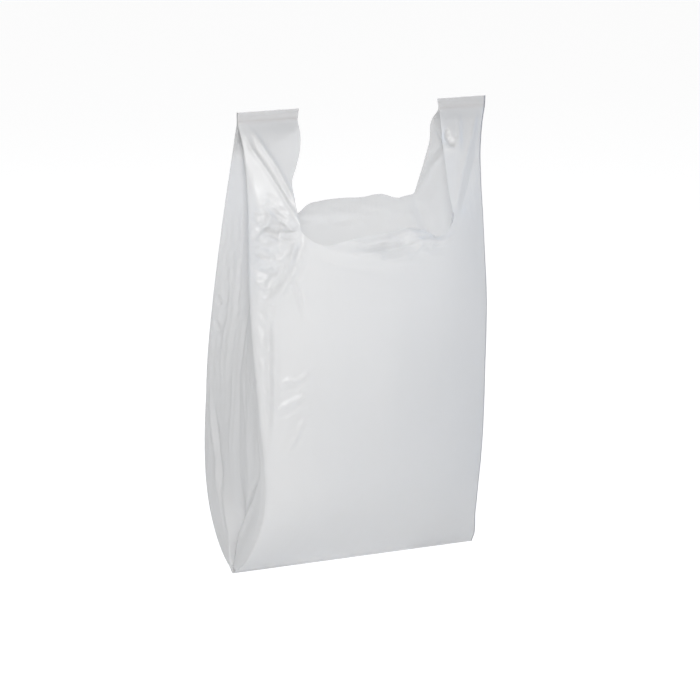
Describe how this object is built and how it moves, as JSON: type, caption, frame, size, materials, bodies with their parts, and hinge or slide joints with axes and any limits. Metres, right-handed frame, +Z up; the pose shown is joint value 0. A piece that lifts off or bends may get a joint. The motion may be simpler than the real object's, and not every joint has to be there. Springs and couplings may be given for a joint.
{
  "type": "plastic carrier bag",
  "caption": "Thin white plastic vest carrier bag hanging open, with two loop handles, folded-in side gussets and a flat sealed bottom edge.",
  "frame": {"origin": "middle of the bottom seal's lower edge, with the bag hanging open by its handles", "axes": "+Z up towards the handles, X along the bag's width, the front faces -Y"},
  "size_m": [0.2968, 0.1924, 0.508],
  "materials": {
    "white_film": "thin white polythene film, soft shine, lets some light through"
  },
  "bodies": {
    "root": {"bag": "white_film"}
  },
  "joints": []
}
